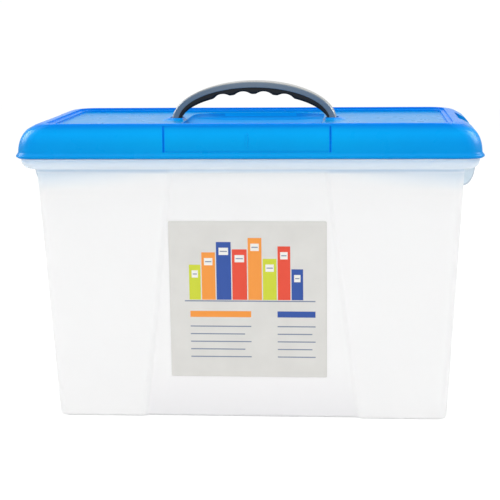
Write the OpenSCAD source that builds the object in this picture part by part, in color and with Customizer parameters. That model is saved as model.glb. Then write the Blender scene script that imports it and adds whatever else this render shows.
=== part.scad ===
// Portable file box: a frosted tapered tub with file rails, a lift-off lid with
// rolled ends, an arched carrying handle and a swinging clip at each end.
// Millimetres. +X runs along the length, the front faces -Y, +Z is up, and the
// origin is at the centre of the base.

/* [Tub] */
// Length of the tub at its base
base_l = 373.4; // [353:0.2:393]
// Depth of the tub at its base, front to back
base_w = 147.4; // [143:0.2:161]
// Height of the rim's shoulder, just under the lid
tub_h = 252.6; // [237:0.1:262]
// How far each wall leans out between base and rim
wall_lean = 12.8; // [11:0.1:14]
// How far the rim's shoulder stands out from the wall
ledge = 13.5; // [13.3:0.1:14]
// Wall thickness of tub and lid
wall = 2.2; // [2:0.1:2.3]
// Plan radius of the tub's corners
corner_r = 8; // [6:0.5:11]
// Depth of the sunk panel on the front and the back
panel_depth = 3; // [1.5:0.1:3.2]
// Width of the sunk panel at the rim
panel_top_w = 147; // [120:1:160]
// Width of the sunk panel at the base
panel_base_w = 206; // [170:1:230]

/* [Lid] */
// Height of the lid, from the bead's underside to the border's crest
lid_h = 32.6; // [31:0.1:36]
// How far the lid's bead stands out from its side
bead_out = 2.1; // [1.8:0.1:3]
// Height of the bead
bead_h = 6; // [5:0.1:7]
// Length of each rolled end, from the crest to the lid's side
roll_l = 24.2; // [23:0.1:28]
// Depth of one of the two steps down from the crest to the top panel
step_h = 2.25; // [1.8:0.05:2.4]
// Length of the hand hollow under the handle
hollow_l = 134; // [120:1:134]
// Depth of the hand hollow at its middle
hollow_h = 8.4; // [6:0.1:10]

/* [Handle] */
// Half the span of the handle's outer curve
bow_a = 80.3; // [79.8:0.1:81]
// Rise of the handle's outer curve above its centre line
bow_b = 38.5; // [36:0.5:46]
// Width of the handle at its middle, front to back
bow_w = 26; // [20:1:30]
// Width of the handle at its feet
foot_w = 17; // [14:1:20]
// Thickness of the bow at its top
bow_t = 5.9; // [5.5:0.1:7]
// Pitch of the finger scallops
finger_pitch = 19.8; // [18:0.1:20]

/* [Clips] */
// Width of each clip
clip_w = 74.8; // [60:0.2:76]
// Thickness of the clip's plate
clip_t = 2.3; // [2:0.1:2.4]
// Radius of the clip's trunnions
pin_r = 1.9; // [1.6:0.1:2]
// Radial clearance of a trunnion in its bore
pin_clearance = 0.06; // [0.02:0.01:0.09]

/* [Label] */
// Width of the paper label
label_w = 149; // [100:1:149]
// Height of the paper label
label_h = 151.8; // [100:0.2:170]
// Height of the label's lower edge above the base
label_z = 40.5; // [20:0.1:50]
// How far the label sits to the right of the middle
label_x = -1.8; // [-2:0.1:2]
// Thickness of the label
label_t = 0.3; // [0.2:0.05:0.5]

/* [Hidden] */
$fn = 48;
far = 300;
corner_steps = 8;

// tub
base_t = 2.6;
base_edge_r = 4;
rim_l = base_l + 2 * wall_lean + 2 * ledge;
rim_w = base_w + 2 * wall_lean + 2 * ledge;
shoulder_start = 1.5;
shoulder_h = 10.5;
shoulder_power = 0.8;
wall_top = tub_h - shoulder_h - 4;
upstand_h = 11.3;
upstand_z = tub_h + upstand_h;
draft = atan(wall_lean / wall_top);
rail_top = tub_h - 1.5;
rail_l = 144;

// lid
lid_gap = 0.3;
lid_z = tub_h + lid_gap;
crest_z = lid_z + lid_h;
lid_l = rim_l + 4;
lid_w = rim_w + 2;
lid_r = 13.5;
lid_r_gain = 4.5;
side_start = 6;
side_lean = 0.6;
top_edge_r = 1.8;
panel_z = crest_z - 2 * step_h;
step_w = 3.5;
border_w = 4;
crest_x = lid_l / 2 - roll_l;
recess_end_x = crest_x - 2.5;
recess_r = 15;
hollow_w = lid_w - 19;
hollow_r = 30;
hollow_sag_r = 660;
band_x = 76.6;
band_depth = 0.6;
rest_rib_x = [-150, 0, 150];

// handle: nested ellipses about one centre, the lowest dropped a little, standing on two collars
bow_z = crest_z - 5.3;
foot_z = panel_z + 2.4;
bow_inner_a = bow_a - 6.3;
bow_inner_b = bow_b - bow_t;
grip_drop = 4;
grip_a = bow_inner_a - 0.3;
grip_b = bow_inner_b - 6.4 + grip_drop;
grip_w = bow_w - 1;
scallop_r = 12;
scallop_t = 3.5;
leg_w = foot_w - 4;
leg_outer = bow_a - 0.6;
leg_inner = bow_inner_a - 0.2;
slot_clearance = 0.2;
slot_outer = bow_a + 2;
collar_inner = bow_a - 10.5;
collar_outer = slot_outer + 1.4;
collar_w = foot_w + 3;
mound_skirt = 8;
mound_inner = 1.5;

// label
label_r = 1;

// clips: the closed plate lies in a pocket of the lid's end
pocket_w = clip_w + 1.2;
pocket_x = lid_l / 2 - 18.8;
pocket_z = lid_z + 15.2;
pocket_skin_x = lid_l / 2 - 4.3;
hinge_x = lid_l / 2 - 8.5;
hinge_z = lid_z + 19.5;
barrel_r = 3.1;
pin_l = 4;
boss_r = 5;
boss_l = 5.5;
recess_w = pocket_w + 2 * wall + 1;
recess_x = pocket_skin_x - wall - 0.5;
catch_out = 2.4;
catch_w = 68;
catch_z0 = tub_h - 4;
catch_z1 = tub_h - 0.4;
shelf_z = tub_h - 9.3;
gusset_y = 28.5;
gusset_t = 2.4;
gusset_h = 23.4;
toe_x = recess_x + catch_out + 0.3;
plate_x = toe_x + 1.4;

// ---- shapes shared by the parts ----

// Points of one rounded rectangle in plan, at height z
function ring(l, w, r, z) = [
    for (c = [[1, 1, 0], [-1, 1, 90], [-1, -1, 180], [1, -1, 270]])
        for (i = [0 : corner_steps])
            let (a = c[2] + 90 * i / corner_steps)
                [c[0] * (l / 2 - r) + r * cos(a), c[1] * (w / 2 - r) + r * sin(a), z]
];

// Closed solid through a stack of rings that all have the same number of points
module loft(rings) {
    n = len(rings[0]);
    m = len(rings);
    points = [for (r = rings) for (p = r) p];
    sides = [
        for (k = [0 : m - 2])
            for (i = [0 : n - 1])
                let (a = k * n + i, b = k * n + (i + 1) % n)
                    for (t = [[a, a + n, b], [b, a + n, b + n]]) t
    ];
    base = [[for (i = [0 : n - 1]) i]];
    top = [[for (i = [n - 1 : -1 : 0]) (m - 1) * n + i]];
    polyhedron(points = points, faces = concat(sides, base, top));
}

// Plan outline with rounded corners
module rounded(l, w, r) {
    square([l - 2 * r, w], center = true);
    square([l, w - 2 * r], center = true);
    for (x = [-1, 1])
        for (y = [-1, 1])
            translate([x * (l / 2 - r), y * (w / 2 - r)])
                circle(r);
}

// Prism with a rounded plan, from z0 to z1
module block(l, w, r, z0, z1) {
    translate([0, 0, z0])
        linear_extrude(z1 - z0)
            rounded(l, w, r);
}

// Box given by its two corners
module span(a, b) {
    translate(a)
        cube(b - a);
}

// Turns a drawing in X and Z into a slab that lies along Y, centred on Y = 0
module along_y(w) {
    rotate([90, 0, 0])
        linear_extrude(w, center = true)
            children();
}

// Places children at both ends of the box
module both_ends() {
    children();
    mirror([1, 0, 0])
        children();
}

// Upper half of an ellipse about the handle's centre line
function half_ellipse(a, b) = [
    for (t = [0 : 5 : 180])
        [a * cos(t), bow_z + b * sin(t)]
];

// ---- tub ----

// Ring of the tub at height z, grown by the offset o from the base's outline
function tub_ring(o, z) = ring(
    base_l + 2 * o,
    base_w + 2 * o,
    corner_r + 0.6 * max(0, o - wall_lean) - (o < 0 ? 0.5 * -o : 0),
    z
);

function lean_at(z) = wall_lean * z / wall_top;

// Makes the shoulder's curve fuller than a quarter of an ellipse
function full(share) = pow(share, shoulder_power);

// Outer form: rounded base edge, leaning wall, curved shoulder and upstand
tub_outer = concat(
    [for (a = [0 : 30 : 90])
        [lean_at(base_edge_r) - base_edge_r * (1 - sin(a)), base_edge_r * (1 - cos(a))]],
    [[wall_lean, wall_top], [wall_lean + 0.4, wall_top + 2.6]],
    [for (a = [0 : 15 : 90])
        [wall_lean + shoulder_start + (ledge - shoulder_start) * full(sin(a)),
         tub_h - shoulder_h * full(cos(a))]],
    [[wall_lean + ledge - wall, tub_h], [wall_lean + ledge - wall, upstand_z]]
);

// Inner form: the outer one moved in by the wall's thickness
tub_inner = concat(
    [[lean_at(base_t) - wall - 2, base_t], [lean_at(base_t) - wall, base_t + 2]],
    [[wall_lean - wall, wall_top + 1], [wall_lean - wall + 0.8, wall_top + 4.4]],
    [for (a = [0 : 15 : 90])
        [wall_lean + shoulder_start + (ledge - 2 * wall - shoulder_start) * full(sin(a)),
         tub_h - (shoulder_h - wall) * full(cos(a))]],
    [[wall_lean + ledge - 2 * wall, upstand_z + 1]]
);

// Places children on the front wall and on the back wall: X along the wall, Y up it, Z outward
module on_long_walls() {
    for (turn = [0, 180])
        rotate([0, 0, turn])
            translate([0, -base_w / 2, 0])
                rotate([90 + draft, 0, 0])
                    children();
}

// Outline of the sunk panel, grown by g
module panel_outline(g) {
    top = (wall_top + 1) / cos(draft);
    polygon([
        [-panel_base_w / 2 - g, -10],
        [panel_base_w / 2 + g, -10],
        [panel_top_w / 2 + g, top + g],
        [-panel_top_w / 2 - g, top + g]
    ]);
}

// Side view of the gusset under the clip's shelf: its free edge is a quarter of an ellipse
module gusset_outline() {
    out = rim_l / 2 - 0.2;
    bottom = shelf_z - gusset_h;
    in = base_l / 2 + lean_at(bottom) - 1;
    web = in + 4;
    polygon(concat(
        [[in, bottom]],
        [for (t = [90 : -9 : 0])
            [web + (out - web) * cos(t), shelf_z - 3 - (gusset_h - 3) * sin(t)]],
        [[out - 0.7, shelf_z], [in, shelf_z]]
    ));
}

// Clip seat at the right end: flat recess, catch rib, shelf and two gussets
module clip_seat_material() {
    span([recess_x - wall, -recess_w / 2 - wall, shelf_z - wall],
         [recess_x + 1.5, recess_w / 2 + wall, upstand_z]);
    span([base_l / 2 + lean_at(shelf_z - wall) - 1, -gusset_y - gusset_t / 2, shelf_z - wall],
         [rim_l / 2 - 0.1, gusset_y + gusset_t / 2, shelf_z]);
    for (y = [-gusset_y, gusset_y])
        translate([0, y, 0])
            along_y(gusset_t)
                gusset_outline();
}

module clip_seat_cut() {
    span([recess_x, -recess_w / 2, shelf_z], [far, recess_w / 2, far]);
}

module catch_rib() {
    span([recess_x - 0.5, -catch_w / 2, catch_z0],
         [recess_x + catch_out, catch_w / 2, catch_z1]);
}

// Rail that the hooks of hanging files sit on
module file_rail() {
    x = base_l / 2 + wall_lean - wall;
    span([x, -rail_l / 2, wall_top + 2], [x + wall, rail_l / 2, rail_top]);
}

module body() {
    color([0.93, 0.95, 0.97, 0.6]) {
        difference() {
            union() {
                difference() {
                    loft([for (p = tub_outer) tub_ring(p[0], p[1])]);
                    on_long_walls()
                        translate([0, 0, -panel_depth])
                            linear_extrude(10)
                                panel_outline(0);
                    difference() {
                        loft([for (p = tub_inner) tub_ring(p[0], p[1])]);
                        on_long_walls()
                            translate([0, 0, -panel_depth - wall])
                                linear_extrude(20)
                                    panel_outline(wall);
                    }
                }
                both_ends()
                    clip_seat_material();
            }
            both_ends()
                clip_seat_cut();
        }
        both_ends() {
            catch_rib();
            file_rail();
        }
    }
}

// ---- lid ----

// Cubic curve of one rolled end, from the crest down to the lid's side
roll = [
    [crest_x, crest_z],
    [lid_l / 2 - 7.1, crest_z - 1.9],
    [lid_l / 2 - 0.3, crest_z - 12.8],
    [lid_l / 2, lid_z + side_start]
];

function on_curve(p, t) =
    pow(1 - t, 3) * p[0] + 3 * pow(1 - t, 2) * t * p[1] + 3 * (1 - t) * t * t * p[2] + pow(t, 3) * p[3];

function slope(p, t) =
    3 * pow(1 - t, 2) * (p[1] - p[0]) + 6 * (1 - t) * t * (p[2] - p[1]) + 3 * t * t * (p[3] - p[2]);

// Point of the roll at t, moved in by d
function roll_point(t, d) =
    let (s = slope(roll, t), n = [s[1], -s[0]] / norm(s))
        on_curve(roll, t) + d * n;

// One slice of the lid's form at the roll's point t, moved in by d
function lid_slice(t, d) =
    let (
        p = roll_point(t, d),
        over = max(0, p[1] - (crest_z - d - top_edge_r)),
        round_in = top_edge_r - sqrt(max(0, pow(top_edge_r, 2) - over * over)),
        rise = max(0, (p[1] - lid_z - side_start) / (lid_h - side_start)),
        half = lid_w / 2 - d - side_lean * rise - round_in
    )
        ring(2 * p[0], 2 * half, lid_r + lid_r_gain * rise - d, p[1]);

// The lid's form without its bead, moved in by d
module lid_form(d, bottom) {
    steps = [1, 0.85, 0.7, 0.58, 0.47, 0.37, 0.28, 0.2, 0.14, 0.09, 0.05, 0.02, 0];
    loft(concat(
        [ring(lid_l - 2 * d, lid_w - 2 * d, lid_r - d, bottom)],
        [for (t = steps) lid_slice(t, d)]
    ));
}

// Bead around the lid's lower edge: outward offset and height of each ring
bead_profile = [
    [-1.2, 0], [0.2, 0], [0.4, 0.7], [bead_out - 0.6, 1], [bead_out, 1.8], [bead_out - 0.2, 2.8],
    [bead_out - 0.9, bead_h - 2.2], [bead_out - 1.6, bead_h - 1.2], [0.2, bead_h - 0.5],
    [-1.2, bead_h - 0.1]
];

module bead() {
    loft([for (p = bead_profile)
        ring(lid_l + 2 * p[0], lid_w + 2 * p[0], lid_r + p[0], lid_z + p[1])]);
}

// Everything sunk into the lid's top, grown by g: two steps, the top panel and the hand hollow
module top_recess(g) {
    step_l = 2 * (recess_end_x + g);
    step_d = lid_w - 2 * border_w + 2 * g;
    block(step_l, step_d, recess_r + g, crest_z - step_h - g, crest_z + 5);
    block(step_l - 2 * step_w, step_d - 2 * step_w, recess_r - step_w + g, panel_z - g, crest_z + 5);
    intersection() {
        block(hollow_l + 2 * g, hollow_w + 2 * g, hollow_r + g, panel_z - hollow_h - g - 1, crest_z + 5);
        along_y(lid_w)
            hollow_floor(g);
    }
}

// Section of the hand hollow along the lid, with a sagging floor
module hollow_floor(g) {
    low = panel_z - hollow_h - g;
    half = hollow_l / 2 + g;
    steps = 12;
    polygon(concat(
        [[half, crest_z + 5], [-half, crest_z + 5]],
        [for (i = [0 : steps])
            let (x = -half + 2 * half * i / steps)
                [x, low + hollow_sag_r - sqrt(pow(hollow_sag_r, 2) - x * x)]]
    ));
}

// Pocket for the clip at the right end, grown by g
module clip_pocket(g) {
    span([pocket_x - g, -pocket_w / 2 - g, pocket_z - g], [far, pocket_w / 2 + g, far]);
    span([pocket_skin_x - g, -pocket_w / 2 - g, lid_z - 5], [far, pocket_w / 2 + g, pocket_z]);
}

// Cylinder along the hinge's axis between two heights of Y
module on_hinge(r, y0, y1) {
    translate([hinge_x, y0, hinge_z])
        rotate([-90, 0, 0])
            cylinder(h = y1 - y0, r = r);
}

// Slightly sunk band on the front and back of the lid, between two seams
module side_bands() {
    for (s = [-1, 1])
        translate([0, s * (lid_w / 2 + 5 - band_depth - 0.3), 0])
            span([-band_x, -5, lid_z + bead_h + 0.4], [band_x, 5, crest_z - 2.4]);
}

// Soft mound that the handle's right foot stands on: spread and height of each ring
mound_profile = [
    [1, panel_z - wall], [1, panel_z], [0.67, panel_z + 0.6], [0.3, panel_z + 1.9], [0, foot_z]
];

module collar() {
    loft([for (p = mound_profile)
        let (
            outer = collar_outer + p[0] * mound_skirt,
            inner = collar_inner - p[0] * mound_inner
        )
            [for (q = ring(outer - inner, collar_w + 2 * p[0] * mound_skirt, 3 + 5 * p[0], p[1]))
                q + [(outer + inner) / 2, 0, 0]]
    ]);
}

module handle_slot() {
    span([leg_inner - slot_clearance, -leg_w / 2 - slot_clearance, panel_z - wall - 5],
         [slot_outer, leg_w / 2 + slot_clearance, foot_z + 5]);
}

// Ribs inside the lid that rest on the tub's upstand
module rest_ribs() {
    for (x = rest_rib_x)
        for (s = [-1, 1])
            translate([x, s * (lid_w / 2 - 2.6), 0])
                span([-1, -2.2, upstand_z], [1, 2.2, upstand_z + 12]);
}

module lid() {
    color([0.0, 0.57, 0.9])
        difference() {
            union() {
                difference() {
                    union() {
                        lid_form(0, lid_z);
                        bead();
                    }
                    difference() {
                        lid_form(wall, lid_z - 2);
                        top_recess(wall);
                        both_ends()
                            clip_pocket(wall);
                    }
                    top_recess(0);
                    side_bands();
                }
                both_ends()
                    collar();
                rest_ribs();
                intersection() {
                    lid_form(0, lid_z);
                    both_ends()
                        for (s = [0, 1])
                            mirror([0, s, 0])
                                on_hinge(boss_r, pocket_w / 2, pocket_w / 2 + boss_l);
                }
            }
            both_ends() {
                clip_pocket(0);
                handle_slot();
                for (s = [0, 1])
                    mirror([0, s, 0])
                        on_hinge(pin_r + pin_clearance, pocket_w / 2 - 1, pocket_w / 2 + pin_l + 0.3);
            }
        }
}

// ---- handle ----

// Leg that passes through the lid, with a barb under it
module handle_leg() {
    along_y(leg_w)
        polygon([
            [leg_inner, foot_z + 1], [leg_outer, foot_z + 1],
            [leg_outer, panel_z - wall - 0.3], [slot_outer + 1.8, panel_z - wall - 0.3],
            [leg_outer, panel_z - wall - 5], [leg_inner, panel_z - wall - 5]
        ]);
}

// Plan of the handle, w wide at its middle and narrower at its feet
module bow_plan(w) {
    edge = [
        for (i = [-10 : 10])
            let (x = 0.1 * i)
                [bow_a * x, foot_w / 2 + (w - foot_w) / 2 * (1 - x * x)]
    ];
    translate([0, 0, foot_z])
        linear_extrude(bow_b)
            polygon(concat(
                [for (i = [20 : -1 : 0]) edge[i]],
                [for (p = edge) [p[0], -p[1]]]
            ));
}

module above_feet() {
    intersection() {
        children();
        translate([-far / 2, foot_z])
            square([far, far]);
    }
}

module handle_frame() {
    color([0.43, 0.5, 0.56]) {
        intersection() {
            along_y(bow_w)
                above_feet()
                    difference() {
                        polygon(half_ellipse(bow_a, bow_b));
                        polygon(half_ellipse(bow_inner_a, bow_inner_b));
                    }
            bow_plan(bow_w);
        }
        both_ends()
            handle_leg();
    }
}

// Height of the top of the scallop at x, under the bow
function scallop_top(x) = bow_z + bow_inner_b * sqrt(1 - pow(x / bow_inner_a, 2)) - scallop_t;

// Soft grip under the bow, with four finger scallops
module handle_grip() {
    color([0.08, 0.09, 0.1])
        intersection() {
            along_y(grip_w)
                above_feet()
                    difference() {
                        polygon(half_ellipse(bow_inner_a, bow_inner_b));
                        translate([0, -grip_drop])
                            polygon(half_ellipse(grip_a, grip_b));
                        for (k = [-1.5 : 1 : 1.5])
                            let (x = k * finger_pitch)
                                translate([x, scallop_top(x) - scallop_r])
                                    circle(scallop_r);
                    }
            bow_plan(grip_w);
        }
}

// ---- clips ----

// Section of the right-hand clip, closed: barrel side, plate, thumb ridge and toe
module clip_outline() {
    out = plate_x + clip_t;
    ridge_z = lid_z + 0.2;
    polygon([
        [hinge_x, hinge_z + barrel_r], [hinge_x + 2.8, hinge_z + barrel_r - 0.5],
        [hinge_x + 4.4, hinge_z + 0.6], [out - 1.8, hinge_z - 3.4], [out - 0.4, hinge_z - 9],
        [out, ridge_z + 5.3], [out + 1.9, ridge_z + 4.9], [out + 2.9, ridge_z + 3.2],
        [out + 2.6, ridge_z + 1.2], [out + 0.5, ridge_z], [out, ridge_z - 0.4],
        [out, shelf_z + 1.8], [out - 0.7, shelf_z + 1],
        [toe_x + 0.2, shelf_z + 1], [toe_x, shelf_z + 1.4], [toe_x, catch_z0 - 0.9],
        [toe_x + 0.5, catch_z0 - 0.4], [plate_x, catch_z0 - 0.4],
        [plate_x, hinge_z - 8.5], [plate_x - 0.4, hinge_z - 4.8], [hinge_x + 3.4, hinge_z - 1.6]
    ]);
}

module clip() {
    difference() {
        along_y(clip_w)
            clip_outline();
        // shallow thumb panel in the plate's outer face
        span([plate_x + clip_t - 0.5, -clip_w / 2 + 6, lid_z + 7.5],
             [far, clip_w / 2 - 6, hinge_z - 4.5]);
    }
    on_hinge(barrel_r, -clip_w / 2, clip_w / 2);
    on_hinge(pin_r, -pocket_w / 2 - pin_l, pocket_w / 2 + pin_l);
}

module right_clip() {
    color([0.46, 0.5, 0.54])
        clip();
}

module left_clip() {
    color([0.46, 0.5, 0.54])
        mirror([1, 0, 0])
            clip();
}

// ---- label ----

module label() {
    color([0.9, 0.91, 0.9])
        translate([0, -base_w / 2, 0])
            rotate([90 + draft, 0, 0])
                translate([label_x, (label_z + label_h / 2) / cos(draft), -panel_depth])
                    linear_extrude(label_t)
                        rounded(label_w, label_h, label_r);
}

body();
lid();
handle_frame();
handle_grip();
left_clip();
right_clip();
label();
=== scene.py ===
from math import asin, atan, cos, pi, radians, sin, sqrt

import bmesh
import bpy
from mathutils import Matrix, Vector


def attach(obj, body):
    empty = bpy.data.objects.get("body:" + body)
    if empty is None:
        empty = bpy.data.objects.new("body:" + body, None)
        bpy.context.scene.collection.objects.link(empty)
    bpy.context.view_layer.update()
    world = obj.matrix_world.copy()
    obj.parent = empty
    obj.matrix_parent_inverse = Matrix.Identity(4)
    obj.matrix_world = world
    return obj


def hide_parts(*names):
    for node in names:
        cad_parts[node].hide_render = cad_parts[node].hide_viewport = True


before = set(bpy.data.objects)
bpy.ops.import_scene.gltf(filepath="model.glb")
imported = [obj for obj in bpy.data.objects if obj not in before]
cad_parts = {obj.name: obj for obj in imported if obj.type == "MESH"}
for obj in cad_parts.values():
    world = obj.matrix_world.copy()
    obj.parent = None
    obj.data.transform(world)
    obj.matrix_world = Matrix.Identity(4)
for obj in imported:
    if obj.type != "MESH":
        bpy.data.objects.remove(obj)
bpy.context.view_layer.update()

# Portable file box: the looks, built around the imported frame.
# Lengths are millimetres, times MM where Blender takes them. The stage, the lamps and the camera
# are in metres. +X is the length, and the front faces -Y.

MM = 0.001

# ---- dimensions, in millimetres ----

# tub
BASE_L = 373.4
BASE_W = 147.4
TUB_H = 252.6
WALL_LEAN = 12.8
LEDGE = 13.5
WALL = 2.2
CORNER_R = 8.0
BASE_T = 2.6
BASE_EDGE_R = 4.0
BASE_FILLET_R = 6.0
SHOULDER_START = 1.5
SHOULDER_H = 10.5
SHOULDER_POWER = 0.8
WALL_TOP = TUB_H - SHOULDER_H - 4
UPSTAND_Z = TUB_H + 11.3
UPSTAND_ROUND = 0.6
UPSTAND_FOOT_R = 0.4
RIM_L = BASE_L + 2 * WALL_LEAN + 2 * LEDGE
RIM_W = BASE_W + 2 * WALL_LEAN + 2 * LEDGE
DRAFT = atan(WALL_LEAN / WALL_TOP)
PANEL_DEPTH = 3.0
PANEL_TOP = WALL_TOP + 1
PANEL_TOP_W = 147.0
PANEL_BASE_W = 206.0
PANEL_SOFT = 6.0

# lid
LID_Z = TUB_H + 0.3
LID_H = 32.6
CREST_Z = LID_Z + LID_H
LID_L = RIM_L + 4
LID_W = RIM_W + 2
ROLL_L = 24.2
CREST_X = LID_L / 2 - ROLL_L
STEP_H = 2.25
STEP_W = 3.5
STEP_SOFT = 0.5
BORDER_W = 4.0
RECESS_X = CREST_X - 2.5
RECESS_R = 15.0
PANEL_Z = CREST_Z - 2 * STEP_H
SIDE_START = 6.0
SIDE_LEAN = 0.6
LID_CORNER_LOW = 13.5
LID_CORNER_HIGH = 18.0
TOP_EDGE_R = 1.8
HOLLOW_L = 134.0
HOLLOW_W = LID_W - 19
HOLLOW_H = 8.4
HOLLOW_R = 30.0
HOLLOW_SAG_R = 660.0
HOLLOW_LIP = 0.8
HOLLOW_FILLET = 3.5
BAND_X = 76.6
BAND_DEPTH = 0.6
BAND_Y = LID_W / 2 - BAND_DEPTH - SIDE_LEAN / 2
BAND_LOW = LID_Z + 6.2
BAND_HIGH = CREST_Z - 2.4
SEAM_HALF_W = 1.0
SEAM_DEPTH = 0.5
REST_RIB_X = (-150, 0, 150)

# handle
BOW_A = 80.3
BOW_B = 38.5
BOW_T = 5.9
BOW_W = 26.0
BOW_TOP_R = 1.6
BOW_LOW_R = 0.5
FOOT_W = 17.0
BOW_Z = CREST_Z - 5.3
FOOT_Z = PANEL_Z + 2.4
BOW_INNER_A = BOW_A - 6.3
BOW_INNER_B = BOW_B - BOW_T
GRIP_DROP = 4.0
GRIP_A = BOW_INNER_A - 0.3
GRIP_B = BOW_INNER_B - 6.4 + GRIP_DROP
GRIP_INSET = 0.5
GRIP_TOP_R = 0.4
GRIP_LOW_R = 2.6
FINGER_PITCH = 19.8
SCALLOP_R = 12.0
SCALLOP_T = 3.5
SCALLOP_BLEND = 0.8
LEG_W = FOOT_W - 4
LEG_OUTER = BOW_A - 0.6
LEG_INNER = BOW_INNER_A - 0.2
SLOT_OUTER = BOW_A + 2
COLLAR_INNER = BOW_A - 10.5
COLLAR_OUTER = SLOT_OUTER + 1.4
COLLAR_W = FOOT_W + 3
MOUND_SKIRT = 8.0
MOUND_INNER = 1.5
MOUND_LEVELS = 9

# clips and the places that hold them
CLIP_W = 74.8
CLIP_T = 2.3
PIN_R = 1.9
PIN_CLEARANCE = 0.06
POCKET_W = CLIP_W + 1.2
POCKET_X = LID_L / 2 - 18.8
POCKET_Z = LID_Z + 15.2
POCKET_SKIN_X = LID_L / 2 - 4.3
HINGE_X = LID_L / 2 - 8.5
HINGE_Z = LID_Z + 19.5
BARREL_R = 3.1
PIN_L = 4.0
BOSS_R = 5.0
BOSS_L = 5.5
SEAT_W = POCKET_W + 2 * WALL + 1
SEAT_X = POCKET_SKIN_X - WALL - 0.5
CATCH_OUT = 2.4
CATCH_W = 68.0
CATCH_Z0 = TUB_H - 4
CATCH_Z1 = TUB_H - 0.4
SHELF_Z = TUB_H - 9.3
GUSSET_Y = 28.5
GUSSET_T = 2.4
GUSSET_H = 23.4
GUSSET_Z = SHELF_Z - GUSSET_H
GUSSET_LIP = 3.0
GUSSET_X = BASE_L / 2 + WALL_LEAN * GUSSET_Z / WALL_TOP + 3
GUSSET_OUT = RIM_L / 2 - 0.2
RAIL_L = 144.0
RAIL_TOP = TUB_H - 1.5
TOE_X = SEAT_X + CATCH_OUT + 0.3
PLATE_X = TOE_X + 1.4

# label
LABEL_W = 149.0
LABEL_H = 151.8
LABEL_X = -1.8
LABEL_Z = 40.5
LABEL_T = 0.3
LABEL_R = 1.0
LABEL_EDGE = 0.08

FAR = 300.0
SHARP_DEG = 32


# ---- mesh helpers ----

def make(name, points, faces):
    """A mesh object from points in millimetres."""
    mesh = bpy.data.meshes.new(name)
    mesh.from_pydata([Vector(p) * MM for p in points], [], faces)
    shape = bmesh.new()
    shape.from_mesh(mesh)
    bmesh.ops.recalc_face_normals(shape, faces=shape.faces)
    shape.to_mesh(mesh)
    shape.free()
    obj = bpy.data.objects.new(name, mesh)
    bpy.context.scene.collection.objects.link(obj)
    return obj


def loft(name, rings):
    """Closed solid through a stack of rings with equal numbers of points."""
    count = len(rings[0])
    points = [p for ring_points in rings for p in ring_points]
    faces = []
    for k in range(len(rings) - 1):
        for i in range(count):
            j = (i + 1) % count
            low, high = k * count, (k + 1) * count
            faces.append((low + i, low + j, high + j, high + i))
    faces.append(tuple(range(count)))
    faces.append(tuple(range((len(rings) - 1) * count, len(rings) * count)))
    return make(name, points, faces)


def arc(count, first=0, last=90):
    """Angles in even steps, given in degrees and returned in radians."""
    return [radians(first + (last - first) * i / count) for i in range(count + 1)]


CORNERS = ((1, 1, 0), (-1, 1, 90), (-1, -1, 180), (1, -1, 270))


def quarter(half_l, half_w, radius, corner, steps=10):
    """The quarter circle at one corner of a rounded rectangle."""
    sx, sy, start = corner
    return [(sx * (half_l - radius) + radius * cos(a), sy * (half_w - radius) + radius * sin(a))
            for a in arc(steps, start, start + 90)]


def plan_ring(length, width, radius, z, steps=10):
    """Rounded rectangle in plan at height z."""
    return [(x, y, z) for corner in CORNERS
            for x, y in quarter(length / 2, width / 2, radius, corner, steps)]


def box(low, high):
    """Solid box between two corners."""
    (x0, y0, z0), (x1, y1, z1) = low, high
    ends = [[(x0, y0, z), (x1, y0, z), (x1, y1, z), (x0, y1, z)] for z in (z0, z1)]
    return loft("box", ends)


def slab(outline, width, middle=0.0):
    """Drawing in X and Z made into a slab along Y."""
    ends = [[(x, middle + side * width / 2, z) for x, z in outline] for side in (-1, 1)]
    return loft("slab", ends)


def rod(radius, x, z, y0, y1):
    """Round bar along Y."""
    steps = 40
    angles = [2 * pi * i / steps for i in range(steps)]
    circle = [(x + radius * cos(a), z + radius * sin(a)) for a in angles]
    return loft("rod", [[(cx, y, cz) for cx, cz in circle] for y in (y0, y1)])


def bake(obj):
    """Turns an object's modifiers into its mesh."""
    graph = bpy.context.evaluated_depsgraph_get()
    mesh = bpy.data.meshes.new_from_object(obj.evaluated_get(graph))
    obj.modifiers.clear()
    obj.data = mesh
    return obj


def combine(base, tools, how):
    """Adds tools to base, cuts them from it or keeps what they share."""
    for tool in tools:
        modifier = base.modifiers.new("combine", "BOOLEAN")
        modifier.operation = how
        modifier.solver = "MANIFOLD"
        modifier.object = tool
        bake(base)
        bpy.data.objects.remove(tool)
    return base


def add(base, *tools):
    return combine(base, tools, "UNION")


def cut(base, *tools):
    return combine(base, tools, "DIFFERENCE")


def keep(base, *tools):
    return combine(base, tools, "INTERSECT")


def at_left(obj):
    """Mirrors an object to the other end of the box."""
    obj.data.transform(Matrix.Diagonal((-1, 1, 1, 1)))
    obj.data.flip_normals()
    return obj


def both_ends(build):
    """The shape that build() makes, at the right end and mirrored at the left."""
    return [build(), at_left(build())]


def finish_mesh(obj, name):
    """Names the piece and shades it smooth between sharp edges."""
    obj.name = name
    obj.data.name = name
    obj.data.polygons.foreach_set("use_smooth", [True] * len(obj.data.polygons))
    obj.data.set_sharp_from_angle(angle=radians(SHARP_DEG))
    weighted = obj.modifiers.new("normals", "WEIGHTED_NORMAL")
    weighted.keep_sharp = True
    return obj


def smoothstep(t):
    t = min(1.0, max(0.0, t))
    return t * t * (3 - 2 * t)


# ---- tub ----

def lean_at(z):
    """How far the wall has leaned out at height z."""
    return WALL_LEAN * z / WALL_TOP


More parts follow.
